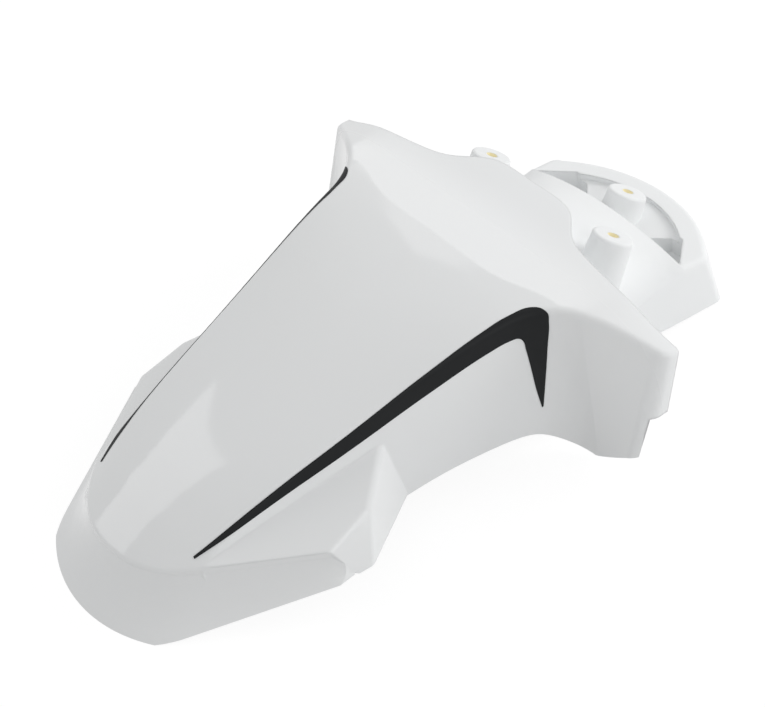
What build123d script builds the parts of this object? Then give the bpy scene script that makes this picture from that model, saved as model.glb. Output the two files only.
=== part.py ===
from build123d import *
import os
from math import atan2, cos, radians, sin, sqrt, tan

# Front mudguard of a motorcycle, in mm. X points forward, Y to the left, Z up.
# The origin is midway between the two front fixing holes, on the tops of their bosses.

WALL = 2.8              # thickness of the moulded skin
FILM = 0.25             # thickness of the stripes
ADHESIVE = 0.15         # layer under them

# Fixings
RAKE = 30               # lean of the boss axes to the rear
SCREW_HOLE = 6.6        # clearance for an M6 screw
FRONT_SPACING = 110     # between the front holes
REAR_REACH = 70.7       # from the front pair back to the rear hole, along the boss tops
BOSS_D = 25
BOSS_DRAFT = 3.5
BOSS_LID = 7
BOSS_CORE = 18
BOSS_EDGE = 1.5

# Front panel: forward, height and cross radius along its centre line
CROWN = (
    (56, 23.4, 3000),
    (90, 21.8, 2500),
    (140, 15.5, 800),
    (205, 0.5, 300),
    (256, -14.0, 200),
    (305, -32.0, 118),
    (352, -60.0, 98),
    (385, -88.0, 92),
)
PANEL_HALF = 165        # half width of the panel's blank at the ridge
PANEL_TAPER = 0.33
RIDGE_X = 84
FLOOR_Z = -80

# Deck between the ridge and the step: sideways and height at the ridge
DECK = ((0, 22.0), (60, 21.6), (97, 21.0), (114, 18.5), (131, 12.5), (156, 2.0))
DECK_FALL = 4
# Rear edge of the deck at one level, from its middle to the wing tip, and its lean
STEP = ((8.8, 0), (12.8, 38), (26.3, 54), (34.5, 76), (38, 105), (37, 128), (31.5, 152), (27, 166))
STEP_LEVEL = 30
STEP_LEAN = 0.3

# Side walls and wings, each at the upper and the lower level
SIDE_Z = (25, -90)
NOSE_X = (319, 327)
NECK_X = 305
NECK_Y = (35, 68)
CORNER = ((83, 87), (77, 101.5))
CORNER_R = (52, 26)
WING_TIP = ((42, 150.5), (86, 154))
TIP_R = 10
WING_REAR = -15
SHOULDER_R = 4
SHOULDER_LOW = -10      # the middle of every shoulder edge is above this
SHOULDER_IN = 26        # and further out than this
FLANGE_END = -38        # height where the return flange of the wing stops
# Lower edge of the side walls, forward and height
LOWER = ((74, -80), (85, -73), (100, -64), (126, -59.5), (160, -59.5), (184, -62))
WING_CHAMFER = ((118, -78), (154, -60))

# Nose brim: centre, radius and half angle of the crease above it and of its lower edge
CREASE = (266, 68, 34.5)
BRIM = (294, 73, 27.5)
CREASE_Z = -50
BRIM_AT = (343, -80)
BRIM_DIP = 11.4
BRIM_BACK = 238
CREASE_R = 3

# Cheeks behind the brim: corners of their three facets
CHEEK_X = 246.6         # where the crease ends and the cheeks widen
CHEEK_SPREAD = 90
CHEEK_BACK = 175
CHEEK_LOW = -61
CHEEK_END = (246.6, 95.2, -45.2)
CHEEK_APEX = (187.9, 71.6, -21.5)
CHEEK_KNEE = (214.8, 91.7, -35.7)
CHEEK_TOE = (227.6, 106.7, -59.3)
FACETS = (
    ((304.5, 56, -45.2), CHEEK_END, CHEEK_APEX),
    (CHEEK_END, CHEEK_KNEE, CHEEK_TOE),
    (CHEEK_APEX, (183, 80.5, -62.2), CHEEK_TOE),
)
CHEEK_R = 5

# Saddle that carries the front bosses
SADDLE_DROP = 8         # below the boss tops at the middle
SADDLE_HALF = 70
SADDLE_FOOT = 78
SADDLE_CREST = -41
SADDLE_BEND = 14
SADDLE_FRONT = 70
CREST_FALL = 10.6       # from the middle of the crest to its ends
ARCH_FALL = 52          # the same under the deck
TUNNEL = ((-10, 75.4), (104, 85))

# Rear hood with its pocket
HOOD_BEND = (-61, 70)
HOOD_REAR = -89
HOOD_FOOT = (-66, SADDLE_FOOT)
HOOD_FOOT_REAR = -93
HOOD_LIFT = ((-66, -80), (66, -66))     # lower edge of the saddle's side walls
HOOD_CORNER = 8
RIM_Z = -43.1
RIM_FALL = 8.8
RIM_EDGE = 5
POCKET = (13, -51)      # inset from the rim's outline and floor height
SLOT = ((-41, 17), (-41, 66), (-61, 48), (-61, 39))     # deeper corner on each side of the rear boss
SLOT_FLOOR = -62

# Stripe on each shoulder, seen from the side: forward and height
STRIPE_TOP = ((300, -40.8), (231, -16), (173, 2), (132, 13.8), (99, 19.7), (86.6, 20.5))
STRIPE_END = ((83.2, 18.1), (82.8, 12))
STRIPE_HOOK = (94, -46.3)
STRIPE_INNER = ((96.8, 1.7), (99, 5.4), (102.5, 6))
STRIPE_LOW = ((136, 0.4), (195.7, -13.7), (270.3, -32.8))
STRIPE_Y = (40, 110)


def flip(point):
    return (Vector(point).X, -Vector(point).Y)


def panel_form(inset):
    sections = []
    last = len(CROWN) - 1
    for i, (x, z, radius) in enumerate(CROWN):
        before = CROWN[max(i - 1, 0)]
        after = CROWN[min(i + 1, last)]
        slope = atan2(after[1] - before[1], after[0] - before[0])
        x2 = x + inset * sin(slope)
        z2 = z - inset * cos(slope)
        half = PANEL_HALF - PANEL_TAPER * (x - RIDGE_X)
        r = radius - inset
        edge = z2 - r + sqrt(r * r - half * half)
        arc = ThreePointArc((-half, edge), (0, z2), (half, edge))
        rest = Polyline((half, edge), (half, -220), (-half, -220), (-half, edge))
        sections.append(Plane.YZ.offset(x2) * make_face([arc, *rest.edges()]))
    return loft(sections) + extrude(sections[0], amount=120, dir=(-1, 0, 0.06))


def deck_form(inset):
    right = [(y, z - inset) for y, z in DECK]
    left = [(-y, z) for y, z in reversed(right[1:])]
    edge = right[-1][0]
    top = Spline(*left, *right)
    rest = Polyline(right[-1], (edge, -260), (-edge, -260), left[0])
    fall = radians(DECK_FALL)
    start = -60
    face = Plane.YZ.offset(start) * Pos(0, (start - RIDGE_X) * tan(fall)) * make_face([top, *rest.edges()])
    return extrude(face, amount=450 / cos(fall), dir=(cos(fall), 0, sin(fall)))


def rounded(a, corner, b, radius, inset=0):
    u = (Vector(a) - Vector(corner)).normalized()
    v = (Vector(b) - Vector(corner)).normalized()
    half = radians(u.get_angle(v) / 2)
    middle = (u + v).normalized()
    apex = Vector(corner) + middle * (inset / sin(half))
    centre = apex + middle * (radius / sin(half))
    reach = radius / tan(half)
    return apex + u * reach, centre - middle * radius, apex + v * reach


def wall_outline(k, inset):
    neck = (NECK_X, NECK_Y[k])
    tip = WING_TIP[k]
    rear = (WING_REAR, tip[1])
    a, m, b = rounded(neck, CORNER[k], tip, CORNER_R[k])
    c, n, d = rounded(CORNER[k], tip, rear, TIP_R)
    face = make_face([
        ThreePointArc(flip(neck), (NOSE_X[k], 0), neck),
        Line(neck, a),
        ThreePointArc(a, m, b),
        Line(b, c),
        ThreePointArc(c, n, d),
        Line(d, rear),
        Line(rear, flip(rear)),
        Line(flip(rear), flip(d)),
        ThreePointArc(flip(d), flip(n), flip(c)),
        Line(flip(c), flip(b)),
        ThreePointArc(flip(b), flip(m), flip(a)),
        Line(flip(a), flip(neck)),
    ])
    if inset:
        face = offset(face, amount=-inset, kind=Kind.INTERSECTION)
    return Pos(0, 0, SIDE_Z[k]) * face


def wall_form(inset):
    return loft([wall_outline(1, inset), wall_outline(0, inset)], ruled=True)


def nose_outline(centre, radius, half, back):
    h = radians(half)
    x = centre + radius * sin(h)
    y = radius * cos(h)
    end = y + (x - back) * tan(h)
    return make_face([
        ThreePointArc((x, -y), (centre + radius, 0), (x, y)),
        Line((x, y), (back, end)),
        Line((back, end), (back, -end)),
        Line((back, -end), (x, -y)),
    ])


def cheek_outline(inset):
    centre, radius, half = CREASE
    h = radians(half)
    radius = radius - inset
    x = centre + radius * sin(h)
    y = radius * cos(h)
    end = (CHEEK_X, y + (x - CHEEK_X) * tan(h))
    wide = (CHEEK_BACK, end[1] + CHEEK_SPREAD)
    return make_face([
        ThreePointArc((x, -y), (centre + radius, 0), (x, y)),
        Line((x, y), end),
        Line(end, wide),
        Line(wide, flip(wide)),
        Line(flip(wide), flip(end)),
        Line(flip(end), (x, -y)),
    ])


def flare_form(inset):
    below = 60 if inset > 0 else 0
    sections = []
    for share, out, grow in ((1, 1, 1.35), (0.5, 0.27, 1.15), (0, 0, 1)):
        centre, radius, half = [a + (b - a) * out for a, b in zip(CREASE, BRIM)]
        dip = radians(BRIM_DIP * share)
        z = CREASE_Z + (BRIM_AT[1] - CREASE_Z) * share
        plane = Plane(origin=(BRIM_AT[0], 0, z), x_dir=(cos(dip), 0, -sin(dip)), z_dir=(sin(dip), 0, cos(dip)))
        face = nose_outline(centre - BRIM_AT[0], radius - inset * grow, half, BRIM_BACK - BRIM_AT[0])
        sections.append(plane * face)
    cheeks = extrude(cheek_outline(inset), amount=70 + below)
    skirt = loft(sections) + Pos(0, 0, CHEEK_LOW - below) * cheeks
    if below:
        skirt = skirt + extrude(sections[0], amount=40, dir=(0, 0, -1))
    return skirt


def facet_cut(skirt, inset):
    for a, b, c in FACETS:
        normal = (Vector(b) - Vector(a)).cross(Vector(c) - Vector(a)).normalized()
        if normal.Y < 0:
            normal = normal * -1
        for side in (1, -1):
            out = Vector(normal.X, side * normal.Y, normal.Z)
            at = Vector(a[0], side * a[1], a[2]) - out * inset
            skirt = split(skirt, bisect_by=Plane(origin=at, z_dir=out), keep=Keep.BOTTOM)
    return skirt


def wall_block(inset):
    return (wall_form(inset) - lower_cut()) & panel_form(inset) & deck_form(inset)


def nose_block():
    form = flare_form(0) & panel_form(0)
    tip = CREASE[0] + CREASE[1]
    form = facet_cut(fillet(nearest(form, (tip, 0, CREASE_Z + 2)), CREASE_R), 0)
    knee = Vector(CHEEK_KNEE)
    ends = [(knee + Vector(p)) / 2 for p in (CHEEK_END, CHEEK_TOE, CHEEK_APEX)]
    return fillet(nearest(form, *[tuple(p) for p in ends]), CHEEK_R)


def lower_cut():
    edge = Spline(*LOWER)
    start = LOWER[0]
    end = LOWER[-1]
    rest = Polyline(end, (400, end[1]), (400, -120), (-40, -120), (-40, start[1]), start)
    return extrude(Plane.XZ * make_face([edge, *rest.edges()]), amount=200, both=True)


def nearest(shape, *points):
    edges = []
    for x, y, z in points:
        for side in (1, -1):
            edge = min(shape.edges(), key=lambda e: e.distance_to(Vertex(x, side * y, z)))
            if edge not in edges:
                edges.append(edge)
    return edges


def round_shoulders(form):
    high = [e for e in form.edges() if e.center().Z > SHOULDER_LOW]
    return fillet([e for e in high if abs(e.center().Y) > SHOULDER_IN], SHOULDER_R)


def step_prism(shift):
    left = STEP[-1]
    edge = Spline(*[flip(p) for p in reversed(STEP[1:])], *STEP)
    rest = Polyline(left, (-120, left[1]), (-120, -left[1]), flip(left))
    face = Pos(shift, 0, STEP_LEVEL) * make_face([edge, *rest.edges()])
    return extrude(face, amount=150, dir=(STEP_LEAN, 0, -1))


def mount_plane(x, y):
    t = radians(RAKE)
    return Plane(origin=(x * cos(t), y, x * sin(t)), x_dir=(cos(t), 0, sin(t)), z_dir=(-sin(t), 0, cos(t)))


def saddle_form(inset):
    t = radians(RAKE)
    sections = []
    back = SADDLE_CREST + max(inset, 0)
    for x, fall in ((back, CREST_FALL), (SADDLE_BEND, ARCH_FALL), (SADDLE_FRONT, ARCH_FALL)):
        top = x * tan(t) - (SADDLE_DROP + inset) / cos(t)
        half = SADDLE_HALF - inset
        foot = SADDLE_FOOT - inset
        low = FLOOR_Z - 2 * inset
        arc = ThreePointArc((-half, top - fall), (0, top), (half, top - fall))
        rest = Polyline((half, top - fall), (foot, low), (-foot, low), (-half, top - fall))
        sections.append(Plane.YZ.offset(x) * make_face([arc, *rest.edges()]))
    return loft(sections, ruled=True)


def hood_outline(bend, rear, inset):
    radius = max(HOOD_CORNER - inset, WALL)
    a, m, b = rounded((0, bend[1]), bend, (rear + 16, bend[1] / 2), radius, inset)
    front = (SADDLE_CREST + (12 if inset else 0), bend[1] - inset)
    rear = rear + inset
    return make_face([
        Line(front, a),
        ThreePointArc(a, m, b),
        ThreePointArc(b, (rear, 0), flip(b)),
        ThreePointArc(flip(b), flip(m), flip(a)),
        Line(flip(a), flip(front)),
        Line(flip(front), front),
    ])


def rim_plane(lower):
    t = radians(RIM_FALL)
    return Plane(origin=(SADDLE_CREST, 0, RIM_Z - lower), x_dir=(cos(t), 0, sin(t)), z_dir=(-sin(t), 0, cos(t)))


def hood_form(inset):
    low = FLOOR_Z - 2 * inset
    t = radians(RAKE)
    end = SADDLE_CREST * tan(t) - SADDLE_DROP / cos(t) - CREST_FALL
    rise = 4
    slope = (HOOD_FOOT[1] - HOOD_BEND[1]) / (end - FLOOR_Z)
    bend = (HOOD_BEND[0], HOOD_BEND[1] - rise * slope)
    top = Pos(0, 0, end + rise) * hood_outline(bend, HOOD_REAR, inset)
    foot = Pos(0, 0, low) * hood_outline(HOOD_FOOT, HOOD_FOOT_REAR, inset)
    form = loft([foot, top], ruled=True)
    return split(form, bisect_by=rim_plane(inset), keep=Keep.BOTTOM)


def pocket_form(grow):
    inset, floor = POCKET
    form = Pos(0, 0, floor - grow) * extrude(hood_outline(HOOD_BEND, HOOD_REAR, inset - grow), amount=60)
    slot = make_face(Polyline(*SLOT, SLOT[0]).edges())
    if grow:
        slot = offset(slot, amount=grow, kind=Kind.INTERSECTION)
    slot = Pos(0, 0, SLOT_FLOOR - grow) * extrude(slot, amount=60)
    keep = Pos(SADDLE_CREST - 100 + grow, 0, -50) * Box(200, 300, 200)
    return (form + slot + mirror(slot, about=Plane.XZ)) & keep


def boss_form(x, y):
    depth = 60
    foot = BOSS_D / 2 + depth * tan(radians(BOSS_DRAFT))
    cone = Pos(0, 0, -depth / 2) * Cone(foot, BOSS_D / 2, depth)
    cone = fillet(cone.edges().sort_by(Axis.Z)[-1:], BOSS_EDGE)
    above = Pos(0, 0, FLOOR_Z + 100) * Box(400, 400, 200)
    return (mount_plane(x, y) * cone) & above


def boss_core(x, y):
    core = Pos(0, 0, -BOSS_LID - 50) * Cylinder(BOSS_CORE / 2, 100)
    hole = Cylinder(SCREW_HOLE / 2, 60)
    return mount_plane(x, y) * (core + hole)


half_front = FRONT_SPACING / 2
bosses = ((0, half_front), (0, -half_front), (-REAR_REACH, 0))

# Front block: panel, walls, wings and nose, cut off behind the deck
above_floor = Pos(150, 0, FLOOR_Z + 100) * Box(600, 400, 200)
front = round_shoulders(wall_block(0)) + (nose_block() & above_floor)
front = front - step_prism(0)
outer_low = Polyline(WING_CHAMFER[0], WING_CHAMFER[1], (WING_CHAMFER[1][0] + 10, WING_CHAMFER[1][1]),
                     (WING_CHAMFER[1][0] + 10, -110), (WING_CHAMFER[0][0], -110), WING_CHAMFER[0])
for side in (False, True):
    wedge = extrude(Plane.YZ * make_face(outer_low.edges()), amount=120)
    front = front - (mirror(wedge, about=Plane.XZ) if side else wedge)

# The return flange of each wing stops above its lower end
(top_x, _), (low_x, _) = WING_TIP
rake = (low_x - top_x) / (SIDE_Z[0] - SIDE_Z[1])
ends = [(top_x + rake * (SIDE_Z[0] - z) - WALL * sqrt(1 + rake ** 2), z) for z in (FLANGE_END, SIDE_Z[1])]
notch = Polyline(ends[0], ends[1], (0, ends[1][1]), (0, ends[0][1]), ends[0])
notch = Pos(0, WING_TIP[0][1], 0) * extrude(Plane.XZ * make_face(notch.edges()), amount=4 * WALL, both=True)
front = front - notch - mirror(notch, about=Plane.XZ)

# Hollow of the front block, with the tunnel walls and the step wall left standing
nose_hollow = facet_cut(flare_form(WALL), WALL)
hollow = (wall_form(WALL) + nose_hollow) & panel_form(WALL) & deck_form(WALL)
(x0, y0), (x1, y1) = TUNNEL
lean = WALL * sqrt(1 + ((y1 - y0) / (x1 - x0)) ** 2)
slab_face = Polyline((x0, y0), (x1, y1), (x1, y1 + lean), (x0, y0 + lean), (x0, y0))
slab = Pos(0, 0, -130) * extrude(make_face(slab_face.edges()), amount=180)
slabs = slab + mirror(slab, about=Plane.XZ)
middle_face = Polyline((x0 - 60, y0), (x0, y0), (x1, y1), (x1, -y1), (x0, -y0), (x0 - 60, -y0), (x0 - 60, y0))
middle = Pos(0, 0, -130) * extrude(make_face(middle_face.edges()), amount=180)
step_wall = step_prism(WALL * sqrt(1 + STEP_LEAN ** 2)) & middle
hollow = hollow - slabs - step_wall

# Saddle and hood behind it
saddle = saddle_form(0)
saddle = fillet(nearest(saddle, (-15, SADDLE_HALF, -48.4)), RIM_EDGE) & deck_form(0)
hood = hood_form(0)
rim = [e for e in hood.edges() if e.center().Z > RIM_Z - 10 and e.center().X < SADDLE_CREST]
hood = fillet(rim, RIM_EDGE)
hood_hollow = hood_form(WALL) - pocket_form(WALL)

lift = Polyline(HOOD_LIFT[0], HOOD_LIFT[1], (HOOD_LIFT[1][0], -120), (HOOD_LIFT[0][0], -120), HOOD_LIFT[0])
lift = extrude(Plane.XZ * make_face(lift.edges()), amount=SADDLE_FOOT + 3, both=True)

body = front + saddle + hood
body = body - pocket_form(0) - lift
for x, y in bosses:
    body = body + boss_form(x, y)
channel = saddle_form(WALL) & deck_form(WALL) & panel_form(WALL)
body = body - hollow - channel - hood_hollow
for x, y in bosses:
    body = body - boss_core(x, y)

# Stripes: the film lies between two slightly grown blanks, inside the stripe's outline
start = STRIPE_TOP[0]
outline = make_face([
    Spline(*STRIPE_TOP),
    ThreePointArc(STRIPE_TOP[-1], *STRIPE_END),
    Line(STRIPE_END[1], STRIPE_HOOK),
    Line(STRIPE_HOOK, STRIPE_INNER[0]),
    ThreePointArc(*STRIPE_INNER),
    Spline(STRIPE_INNER[2], *STRIPE_LOW, start),
])
band = extrude(Plane.XZ.offset(-STRIPE_Y[1]) * outline, amount=STRIPE_Y[1] - STRIPE_Y[0])
skin = wall_block(-FILM - ADHESIVE) & band
left_stripe = skin - wall_block(-ADHESIVE)
right_stripe = mirror(left_stripe, about=Plane.XZ)

os.makedirs("parts", exist_ok=True)
export_step(body, "parts/mudguard.step")
export_step(left_stripe, "parts/left_stripe.step")
export_step(right_stripe, "parts/right_stripe.step")
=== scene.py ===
import math

import bmesh
import bpy
from mathutils import Matrix, Quaternion, Vector


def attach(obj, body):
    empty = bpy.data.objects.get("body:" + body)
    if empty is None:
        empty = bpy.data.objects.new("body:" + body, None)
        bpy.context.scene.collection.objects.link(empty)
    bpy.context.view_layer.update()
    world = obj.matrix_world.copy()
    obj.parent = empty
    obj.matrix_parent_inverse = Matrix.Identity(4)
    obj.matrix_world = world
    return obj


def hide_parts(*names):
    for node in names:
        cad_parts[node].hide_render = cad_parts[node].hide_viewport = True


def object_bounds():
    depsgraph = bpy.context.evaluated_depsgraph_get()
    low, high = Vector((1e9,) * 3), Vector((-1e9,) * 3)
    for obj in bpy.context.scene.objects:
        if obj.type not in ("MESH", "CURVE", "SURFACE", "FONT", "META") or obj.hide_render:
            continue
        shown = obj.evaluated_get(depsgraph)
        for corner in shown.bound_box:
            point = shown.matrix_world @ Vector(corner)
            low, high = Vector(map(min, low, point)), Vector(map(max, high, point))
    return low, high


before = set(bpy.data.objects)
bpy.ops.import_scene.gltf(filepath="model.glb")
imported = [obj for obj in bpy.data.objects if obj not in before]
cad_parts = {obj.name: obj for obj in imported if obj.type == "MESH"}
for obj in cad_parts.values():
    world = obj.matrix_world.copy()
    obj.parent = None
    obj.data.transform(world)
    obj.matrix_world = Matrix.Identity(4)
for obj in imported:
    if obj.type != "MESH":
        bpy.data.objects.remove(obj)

cad_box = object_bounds()

# The photograph's camera: where it stands, the point it aims at, its roll and its range.
CAMERA_AT = (0.5358, 0.6799, 0.7138)
CAMERA_AIM = (0.1568, 0.0357, 0.0)
CAMERA_ROLL = math.radians(-10.46)
CAMERA_NEAREST = 0.01
CAMERA_FARTHEST = 20.0
FOCAL_PIXELS = 1850
PHOTO_WIDTH = 765
PHOTO_HEIGHT = 707
SENSOR = 36.0

# Softboxes: place, the point each one faces, width, turn about its own axis in degrees, and watts.
MIDDLE = (0.13, 0.0, -0.03)
NOSE = (0.29, 0.0, -0.03)
SOFTBOXES = {
    "rear_softbox": ((-1.102, 0.575, 0.604), MIDDLE, 0.80, 0, 8.4),
    "far_softbox": ((-0.739, -0.869, 0.830), MIDDLE, 0.80, 0, 2.3),
    "near_softbox": ((0.130, 1.299, 0.720), MIDDLE, 0.80, 0, 3.4),
    "nose_softbox": ((0.800, -0.845, 0.815), NOSE, 0.72, 45, 2.3),
}
ROOM_LIGHT = 0.49
BACKDROP_LIGHT = 1.0

# Floor: half its width, how bright it shows as a backdrop, and the share of that over its paint.
FLOOR_HALF = 3.0
FLOOR_LIGHT = 1.08
FLOOR_SHARE = 0.85

# Colours
BACKDROP_WHITE = (1, 1, 1, 1)
NO_GLOW = (0, 0, 0, 1)
WHITE = (0.856, 0.868, 0.876, 1)
WARM_WHITE = (0.850, 0.860, 0.860, 1)
# Warm tone of the bores: partly the plastic's own colour, partly painted light standing for a glow through
# the translucent plastic; it is also their emission colour.
BORE_TONE_AND_PAINTED_GLOW = (0.64, 0.58, 0.37, 1)
FILM_BLACK = (0.010, 0.011, 0.012, 1)
FILM_GREY = (0.016, 0.017, 0.018, 1)
FLOOR_GREY = (0.82, 0.82, 0.82, 1)

# Noise patterns: scale and detail.
MOTTLE = (9.0, 3.0)
WAVES = (26.0, 1.0)
GRAIN = (1500.0, 2.0)
FILM_GRAIN = (1400.0, 2.0)
FILM_CLOUD = (30.0, 2.0)

# White plastic: its relief, and its roughness at the rear, which the polish of the front takes away from.
RELIEF = 0.10
RELIEF_DEPTH = 0.0004
WAVE_HEIGHT = 0.4
GRAIN_HEIGHT = 0.04
INNER_GRAIN_HEIGHT = 0.5
REAR_ROUGHNESS = 0.60
MOTTLE_ROUGHNESS = 0.04
POLISH = 0.54
INNER_ROUGHNESS = 0.5
# Strength of the bores' painted glow, an emission that stands for light through the plastic; the bores are
# no lamp.
BORE_PAINTED_GLOW_STRENGTH = 0.45
PLASTIC_IOR = 1.5

# Black film
FILM_RELIEF = 0.08
FILM_RELIEF_DEPTH = 0.0002
FILM_ROUGHNESS = 0.42
FILM_CLOUD_ROUGHNESS = 0.12
FILM_SPECULAR = 0.18
FILM_IOR = 1.45

# Fixing holes: their shared axis, their mouths on the boss tops, and how far the warm tone and the painted
# glow in them reach.
HOLE_AXIS = (-0.5, 0.0, 0.8660)
HOLE_MOUTHS = ((0.0, 0.055, 0.0), (0.0, -0.055, 0.0), (-0.0612, 0.0, -0.0354))
BORE_REACH = 0.0037
BORE_STEEPNESS = 3000.0

# The inner side is where a face looks down past this.
INNER_FROM = -0.02
INNER_STEEPNESS = 12.0

# The front panel is polished; behind this line the moulding dulls over a short length.
POLISH_FROM = 0.030
POLISH_RUN = 0.040

# Edges shade as rounded by this radius, from just above the lower rims upward.
EDGE_SOFTNESS = 0.0025
EDGE_SAMPLES = 6
RIM_LEVEL = -0.056
RIM_RUN = 0.010

# Joining of the moulding's triangles, and the angles from which an edge stays sharp.
JOIN_DISTANCE = 1e-6
CREASE_ANGLE = math.radians(6.0)
SHARP_ANGLE = math.radians(32)

# Rear ends of the brim's lower edge: their reach in X, how far out they lie, the edge's slope, the
# level that it is brought down to, and the heights between which that fades in.
BRIM_END_X = (0.2385, 0.2504)
BRIM_END_Y = 0.097
BRIM_SLOPE = math.tan(math.radians(11.4))
BRIM_END_LEVEL = -0.06125
BRIM_FADE = (-0.050, -0.058)

# Inner corner of the hood that lies close under the outer skin, and the way it is drawn back.
HOOD_CORNER = (-0.0290, 0.0672, -0.0440)
HOOD_CORNER_REACH = 0.0006
HOOD_CORNER_SHIFT = (0.0, -0.0014, -0.0022)

# Edges of the left stripe in the photograph, in its pixels: from the front tip, along the shoulder, to
# the end of the hook.
STRIPE_OUTER = (
    (193.5, 556.5), (270, 494.5), (350, 433), (430, 370.5), (480.5, 333.5), (510.5, 315),
    (531.5, 307.5), (545, 310.5), (549, 323), (548, 342), (545.5, 380), (543.5, 406),
)
STRIPE_INNER = (
    (194.5, 559), (270, 506), (350, 450), (430, 392.5), (490, 352), (510, 341),
    (519, 338.5), (523, 341), (526, 350), (531.5, 370), (536.5, 390), (542, 407),
)

# Films: the way they are pressed on from outside, the distance that starts from and its reach, their
# thickness, the lift off the moulding, and the points along and across each one.
FILM_OUTWARD = (0.0, 0.8, 0.6)
FILM_START = 0.012
FILM_REACH = 0.03
FILM_THICKNESS = 0.00025
FILM_LIFT = 0.00012
FILM_COLUMNS = 260
FILM_ROWS = 11
SHEET_SIZE = 1.0
FILM_PORTS = {
    "Edges": "NodeSocketObject",
    "Moulding": "NodeSocketObject",
    "Side": "NodeSocketFloat",
    "Lift": "NodeSocketFloat",
    "Thickness": "NodeSocketFloat",
    "Columns": "NodeSocketInt",
    "Rows": "NodeSocketInt",
    "Film": "NodeSocketMaterial",
}

# Numbers of a Mix node's sockets: the two vectors, the mixed vector and the mixed colour.
MIX_VECTORS = (4, 5)
MIXED_VECTOR = 1
MIXED_COLOUR = 2


class Socket:
    """A node's output that can be added, multiplied and so on; each sum makes a Math node."""

    def __init__(self, tree, output):
        self.tree = tree
        self.output = output

    def math(self, operation, first, second):
        return self.tree.node("ShaderNodeMath", {"operation": operation}, {0: first, 1: second})

    def __add__(self, other):
        return self.math("ADD", self, other)

    __radd__ = __add__

    def __sub__(self, other):
        return self.math("SUBTRACT", self, other)

    def __rsub__(self, other):
        return self.math("SUBTRACT", other, self)

    def __mul__(self, other):
        return self.math("MULTIPLY", self, other)

    __rmul__ = __mul__

    def __truediv__(self, other):
        return self.math("DIVIDE", self, other)

    def least(self, other):
        return self.math("MINIMUM", self, other)

    def most(self, other):
        return self.math("MAXIMUM", self, other)

    def held(self):
        """The value kept between nought and one."""
        return self.least(1.0).most(0.0)


class Tree:
    """A material, world or geometry tree being made out of nodes."""

    def __init__(self, tree):
        self.tree = tree
        tree.nodes.clear()

    def node(self, kind, settings=None, sockets=None, out=0):
        made = self.tree.nodes.new(kind)
        for name, value in (settings or {}).items():
            setattr(made, name, value)
        for name, value in (sockets or {}).items():
            if isinstance(value, Socket):
                self.tree.links.new(value.output, made.inputs[name])
            else:
                made.inputs[name].default_value = value
        return Socket(self, made.outputs[out]) if len(made.outputs) else None


def new_material(name):
    material = bpy.data.materials.new(name)
    material.use_nodes = True
    return material, Tree(material.node_tree)


def noise(tree, scale, detail):
    place = tree.node("ShaderNodeTexCoord", out="Object")
    return tree.node("ShaderNodeTexNoise", None, {"Vector": place, "Scale": scale, "Detail": detail})


def blend(tree, share, first, second):
    colours = {"Factor": share, "A": first, "B": second}
    return tree.node("ShaderNodeMix", {"data_type": "RGBA"}, colours, out=MIXED_COLOUR)


def in_bore(tree):
    """One inside the three fixing holes, where the warm tone and the painted glow go: the distance from each
    hole's axis, against the bore's reach.
    """
    place = tree.node("ShaderNodeTexCoord", out="Object")
    nearest = None
    for mouth in HOLE_MOUTHS:
        arm = tree.node("ShaderNodeVectorMath", {"operation": "SUBTRACT"}, {0: place, 1: mouth})
        across = tree.node("ShaderNodeVectorMath", {"operation": "CROSS_PRODUCT"}, {0: arm, 1: HOLE_AXIS})
        distance = tree.node("ShaderNodeVectorMath", {"operation": "LENGTH"}, {0: across}, out="Value")
        nearest = distance if nearest is None else nearest.least(distance)
    return ((BORE_REACH - nearest) * BORE_STEEPNESS).held()


def faces_down(tree):
    """One on the inner side of the shell, whose faces look down."""
    facing = tree.node("ShaderNodeTexCoord", out="Normal")
    height = tree.node("ShaderNodeSeparateXYZ", None, {0: facing}, out="Z")
    return ((INNER_FROM - height) * INNER_STEEPNESS).held()


def polished(tree):
    """One on the polished front panel, nought on the duller rear."""
    place = tree.node("ShaderNodeTexCoord", out="Object")
    forward = tree.node("ShaderNodeSeparateXYZ", None, {0: place}, out="X")
    return ((forward - POLISH_FROM) / POLISH_RUN).held()


def above_rims(tree):
    """One above the lower rims of the shell."""
    place = tree.node("ShaderNodeTexCoord", out="Object")
    height = tree.node("ShaderNodeSeparateXYZ", None, {0: place}, out="Z")
    return ((height - RIM_LEVEL) / RIM_RUN).held()


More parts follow.
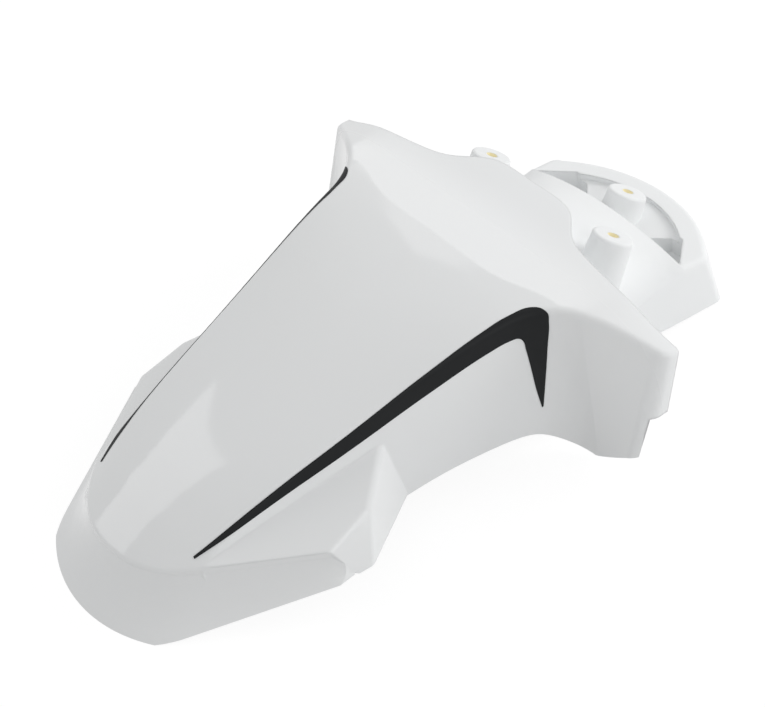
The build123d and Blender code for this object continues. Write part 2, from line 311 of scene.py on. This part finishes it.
def white_plastic():
    """Gloss white moulding: flow mottle, a warm tone with a painted glow in the bores, and a grained, duller
    inner side.
    """
    material, t = new_material("white_gloss_plastic")
    mottle = noise(t, *MOTTLE)
    waves = noise(t, *WAVES)
    grain = noise(t, *GRAIN)
    inner = faces_down(t)
    bore = in_bore(t)
    shell = blend(t, mottle, WHITE, WARM_WHITE)
    rounded = t.node("ShaderNodeBevel", {"samples": EDGE_SAMPLES}, {"Radius": above_rims(t) * EDGE_SOFTNESS})
    bump = t.node("ShaderNodeBump", None, {
        "Strength": RELIEF,
        "Distance": RELIEF_DEPTH,
        "Height": waves * WAVE_HEIGHT + grain * (GRAIN_HEIGHT + inner * INNER_GRAIN_HEIGHT),
        "Normal": rounded,
    })
    outside = REAR_ROUGHNESS + mottle * MOTTLE_ROUGHNESS - polished(t) * POLISH
    shader = t.node("ShaderNodeBsdfPrincipled", None, {
        # In the bores the base colour turns warm, partly the plastic's own tone and partly painted light,
        # and an emission paints a glow there.
        "Base Color": blend(t, bore, shell, BORE_TONE_AND_PAINTED_GLOW),
        "Roughness": outside.most(inner * INNER_ROUGHNESS),
        "Emission Color": blend(t, bore, NO_GLOW, BORE_TONE_AND_PAINTED_GLOW),
        "Emission Strength": BORE_PAINTED_GLOW_STRENGTH,
        "IOR": PLASTIC_IOR,
        "Normal": bump,
    })
    t.node("ShaderNodeOutputMaterial", None, {"Surface": shader})
    return material


def black_film():
    """Black film of the stripes, satin, with a fine grain."""
    material, t = new_material("black_film")
    grain = noise(t, *FILM_GRAIN)
    cloud = noise(t, *FILM_CLOUD)
    bump = t.node("ShaderNodeBump", None, {
        "Strength": FILM_RELIEF,
        "Distance": FILM_RELIEF_DEPTH,
        "Height": grain,
    })
    shader = t.node("ShaderNodeBsdfPrincipled", None, {
        "Base Color": blend(t, cloud, FILM_BLACK, FILM_GREY),
        "Roughness": FILM_ROUGHNESS + cloud * FILM_CLOUD_ROUGHNESS,
        "Specular IOR Level": FILM_SPECULAR,
        "IOR": FILM_IOR,
        "Normal": bump,
    })
    t.node("ShaderNodeOutputMaterial", None, {"Surface": shader})
    return material


def seen_directly(tree):
    """One for rays from the camera, off a glossy surface or through a clear one."""
    camera = tree.node("ShaderNodeLightPath", out="Is Camera Ray")
    glossy = tree.node("ShaderNodeLightPath", out="Is Glossy Ray")
    through = tree.node("ShaderNodeLightPath", out="Is Transmission Ray")
    return camera.most(glossy.most(through))


def floor_paint():
    material, t = new_material("studio_floor")
    paint = t.node("ShaderNodeBsdfDiffuse", None, {"Color": FLOOR_GREY})
    white = t.node("ShaderNodeEmission", None, {"Strength": FLOOR_LIGHT})
    mix = t.node("ShaderNodeMixShader", None, {0: seen_directly(t) * FLOOR_SHARE, 1: paint, 2: white})
    t.node("ShaderNodeOutputMaterial", None, {"Surface": mix})
    return material


def make_floor(level):
    corners = [(x * FLOOR_HALF, y * FLOOR_HALF, level) for x, y in ((-1, -1), (1, -1), (1, 1), (-1, 1))]
    mesh = bpy.data.meshes.new("floor")
    mesh.from_pydata(corners, [], [(0, 1, 2, 3)])
    mesh.materials.append(floor_paint())
    floor = bpy.data.objects.new("floor", mesh)
    bpy.context.scene.collection.objects.link(floor)


def make_world():
    world = bpy.data.worlds.new("studio")
    bpy.context.scene.world = world
    world.use_nodes = True
    t = Tree(world.node_tree)
    room = t.node("ShaderNodeBackground", None, {"Color": BACKDROP_WHITE, "Strength": ROOM_LIGHT})
    backdrop = t.node("ShaderNodeBackground", None, {"Color": BACKDROP_WHITE, "Strength": BACKDROP_LIGHT})
    mix = t.node("ShaderNodeMixShader", None, {0: seen_directly(t), 1: room, 2: backdrop})
    t.node("ShaderNodeOutputWorld", None, {"Surface": mix})


def make_softbox(name, at, aim, width, turn, watts):
    lamp = bpy.data.lights.new(name, "AREA")
    lamp.shape = "SQUARE"
    lamp.size = width
    lamp.energy = watts
    holder = bpy.data.objects.new(name, lamp)
    holder.location = at
    holder.rotation_mode = "QUATERNION"
    facing = (Vector(aim) - Vector(at)).to_track_quat("-Z", "Y")
    holder.rotation_quaternion = facing @ Quaternion((0, 0, 1), math.radians(turn))
    bpy.context.scene.collection.objects.link(holder)


def photo_view():
    """The place and turn of the photograph's camera."""
    look = (Vector(CAMERA_AIM) - Vector(CAMERA_AT)).to_track_quat("-Z", "Y").to_matrix().to_4x4()
    return Matrix.Translation(CAMERA_AT) @ look @ Matrix.Rotation(CAMERA_ROLL, 4, "Z")


def make_camera():
    data = bpy.data.cameras.new("photo_camera")
    data.sensor_width = SENSOR
    data.sensor_fit = "HORIZONTAL"
    data.lens = FOCAL_PIXELS / PHOTO_WIDTH * SENSOR
    data.clip_start = CAMERA_NEAREST
    data.clip_end = CAMERA_FARTHEST
    camera = bpy.data.objects.new("photo_camera", data)
    camera.matrix_world = photo_view()
    bpy.context.scene.collection.objects.link(camera)
    bpy.context.scene.camera = camera


def creased(edge, layer):
    """True where two faces of the moulding meet at an angle all along the edge."""
    if edge.calc_face_angle(0.0) > SHARP_ANGLE:
        return True
    for corner in edge.verts:
        sides = [loop[layer] for face in edge.link_faces for loop in face.loops if loop.vert == corner]
        if sides[0].angle(sides[1], 0.0) < CREASE_ANGLE:
            return False
    return True


def level_brim_ends(bm):
    """Bring the rear ends of the brim's lower edge down level with the cheeks."""
    for vert in bm.verts:
        x, y, z = vert.co
        if BRIM_END_X[0] < x < BRIM_END_X[1] and abs(y) > BRIM_END_Y:
            share = min(max((z - BRIM_FADE[0]) / (BRIM_FADE[1] - BRIM_FADE[0]), 0.0), 1.0)
            lower = z - share * (BRIM_END_X[1] - x) * BRIM_SLOPE
            vert.co.z = max(lower, min(z, BRIM_END_LEVEL))


def draw_back_hood_corners(bm):
    """Draw the hood's two inner corners back from the outer skin."""
    for vert in bm.verts:
        handed = Vector((1.0, math.copysign(1.0, vert.co.y), 1.0))
        corner = Vector(HOOD_CORNER) * handed
        if (vert.co - corner).length < HOOD_CORNER_REACH:
            vert.co += Vector(HOOD_CORNER_SHIFT) * handed


def smooth_shell(node_name, piece_name):
    """The moulding's shape with its triangles joined, so that curved faces shade as one, and two mends."""
    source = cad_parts[node_name].data.copy()
    normals = source.attributes.new("face_normal", "FLOAT_VECTOR", "CORNER")
    normals.data.foreach_set("vector", [part for corner in source.corner_normals for part in corner.vector])
    bm = bmesh.new()
    bm.from_mesh(source)
    bpy.data.meshes.remove(source)
    level_brim_ends(bm)
    draw_back_hood_corners(bm)
    bmesh.ops.remove_doubles(bm, verts=bm.verts, dist=JOIN_DISTANCE)
    layer = bm.loops.layers.float_vector["face_normal"]
    for face in bm.faces:
        face.smooth = True
    for edge in bm.edges:
        edge.smooth = not creased(edge, layer)
    bm.loops.layers.float_vector.remove(layer)
    mesh = bpy.data.meshes.new(piece_name)
    bm.to_mesh(mesh)
    bm.free()
    piece = bpy.data.objects.new(piece_name, mesh)
    bpy.context.scene.collection.objects.link(piece)
    weigh = piece.modifiers.new("even_normals", "WEIGHTED_NORMAL")
    weigh.keep_sharp = True
    return piece


def bake_modifiers(piece):
    """Work the piece's modifiers into its mesh."""
    seen = piece.evaluated_get(bpy.context.evaluated_depsgraph_get())
    mesh = bpy.data.meshes.new_from_object(seen)
    piece.modifiers.clear()
    piece.data = mesh


def point_at(pixel, moulding):
    """The point of the moulding that the photograph shows at a pixel."""
    view = photo_view()
    across = (pixel[0] - PHOTO_WIDTH / 2) / FOCAL_PIXELS
    down = (pixel[1] - PHOTO_HEIGHT / 2) / FOCAL_PIXELS
    ray = view.to_3x3() @ Vector((across, -down, -1.0))
    graph = bpy.context.evaluated_depsgraph_get()
    found, place, _, _ = moulding.ray_cast(view.translation, ray, depsgraph=graph)
    if not found:
        raise ValueError(f"the photograph's pixel {pixel} is not on the moulding")
    return place


def stripe_edges(moulding):
    """A curve with two splines: the outer and the inner edge of the left stripe."""
    data = bpy.data.curves.new("stripe_edges", "CURVE")
    data.dimensions = "3D"
    for pixels in (STRIPE_OUTER, STRIPE_INNER):
        spline = data.splines.new("BEZIER")
        spline.bezier_points.add(len(pixels) - 1)
        for knot, pixel in zip(spline.bezier_points, pixels):
            knot.co = point_at(pixel, moulding)
            knot.handle_left_type = "AUTO"
            knot.handle_right_type = "AUTO"
    edges = bpy.data.objects.new("stripe_edges", data)
    bpy.context.scene.collection.objects.link(edges)
    return edges


def film_tree():
    """Geometry tree of a stripe: a sheet between the two edges, dropped on the moulding and thickened."""
    group = bpy.data.node_groups.new("shoulder_stripe", "GeometryNodeTree")
    ports = {}
    for name, kind in FILM_PORTS.items():
        ports[name] = group.interface.new_socket(name, in_out="INPUT", socket_type=kind).identifier
    group.interface.new_socket("Stripe", in_out="OUTPUT", socket_type="NodeSocketGeometry")
    t = Tree(group)

    def given(name):
        return t.node("NodeGroupInput", out=name)

    def vector(operation, first, second):
        return t.node("ShaderNodeVectorMath", {"operation": operation}, {0: first, 1: second})

    def stretched(direction, length):
        return t.node("ShaderNodeVectorMath", {"operation": "SCALE"}, {0: direction, "Scale": length})

    sheet = t.node("GeometryNodeMeshGrid", None, {
        "Size X": SHEET_SIZE,
        "Size Y": SHEET_SIZE,
        "Vertices X": given("Columns"),
        "Vertices Y": given("Rows"),
    })
    spot = t.node("GeometryNodeInputPosition")
    along = t.node("ShaderNodeSeparateXYZ", None, {0: spot}, out="X") + SHEET_SIZE / 2
    across = t.node("ShaderNodeSeparateXYZ", None, {0: spot}, out="Y") + SHEET_SIZE / 2
    edges = t.node("GeometryNodeObjectInfo", None, {"Object": given("Edges")}, out="Geometry")
    outer, inner = [
        t.node("GeometryNodeSampleCurve", {"mode": "FACTOR"},
               {"Curves": edges, "Factor": along, "Curve Index": index}, out="Position")
        for index in (0, 1)]
    ends = {"Factor": across, MIX_VECTORS[0]: outer, MIX_VECTORS[1]: inner}
    rung = t.node("ShaderNodeMix", {"data_type": "VECTOR"}, ends, out=MIXED_VECTOR)
    handed = t.node("ShaderNodeCombineXYZ", None, {0: 1.0, 1: given("Side"), 2: 1.0})
    outward = vector("MULTIPLY", FILM_OUTWARD, handed)
    body = t.node("GeometryNodeObjectInfo", None, {"Object": given("Moulding")}, out="Geometry")
    press = {
        "Target Geometry": body,
        "Source Position": vector("ADD", vector("MULTIPLY", rung, handed), stretched(outward, FILM_START)),
        "Ray Direction": stretched(outward, -1.0),
        "Ray Length": FILM_REACH,
    }
    place = t.node("GeometryNodeRaycast", None, press, out="Hit Position")
    normal = t.node("GeometryNodeRaycast", None, press, out="Hit Normal")
    lifted = vector("ADD", place, stretched(normal, given("Lift")))
    laid = t.node("GeometryNodeSetPosition", None, {"Geometry": sheet, "Position": lifted})
    left = t.node("FunctionNodeCompare", {"operation": "GREATER_THAN"}, {0: given("Side"), 1: 0.0})
    laid = t.node("GeometryNodeFlipFaces", None, {"Mesh": laid, "Selection": left})
    top = t.node("GeometryNodeExtrudeMesh", {"mode": "FACES"}, {
        "Mesh": laid,
        "Offset Scale": given("Thickness"),
        "Individual": False,
    })
    under = t.node("GeometryNodeFlipFaces", None, {"Mesh": laid})
    join = group.nodes.new("GeometryNodeJoinGeometry")
    for part in (under, top):
        group.links.new(part.output, join.inputs[0])
    both = Socket(t, join.outputs[0])
    closed = t.node("GeometryNodeMergeByDistance", None, {"Geometry": both, "Distance": JOIN_DISTANCE})
    whole = t.node("GeometryNodeRealizeInstances", None, {"Geometry": closed})
    film = t.node("GeometryNodeSetMaterial", None, {"Geometry": whole, "Material": given("Film")})
    t.node("NodeGroupOutput", None, {"Stripe": film})
    return group, ports


def make_stripe(name, tree, ports, edges, moulding, side, film):
    piece = bpy.data.objects.new(name, bpy.data.meshes.new(name))
    bpy.context.scene.collection.objects.link(piece)
    layer = piece.modifiers.new("stripe", "NODES")
    layer.node_group = tree
    values = {
        "Edges": edges,
        "Moulding": moulding,
        "Side": side,
        "Lift": FILM_LIFT,
        "Thickness": FILM_THICKNESS,
        "Columns": FILM_COLUMNS,
        "Rows": FILM_ROWS,
        "Film": film,
    }
    for port, value in values.items():
        layer[ports[port]] = value
    bake_modifiers(piece)
    piece.data.shade_smooth()
    piece.data.set_sharp_from_angle(angle=SHARP_ANGLE)
    return piece


bpy.context.scene.view_settings.view_transform = "Standard"
make_camera()
make_world()
make_floor(cad_box[0].z)
for name, softbox in SOFTBOXES.items():
    make_softbox(name, *softbox)

plastic = white_plastic()
moulding = smooth_shell("mudguard", "mudguard_moulding")
moulding.data.materials.clear()
moulding.data.materials.append(plastic)
bake_modifiers(moulding)
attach(moulding, "root")
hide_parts("mudguard")

film = black_film()
edges = stripe_edges(moulding)
tree, ports = film_tree()
for node, side in (("left_stripe", 1.0), ("right_stripe", -1.0)):
    stripe = make_stripe(node + "_film", tree, ports, edges, moulding, side, film)
    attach(stripe, "root")
    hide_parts(node)
bpy.data.objects.remove(edges)
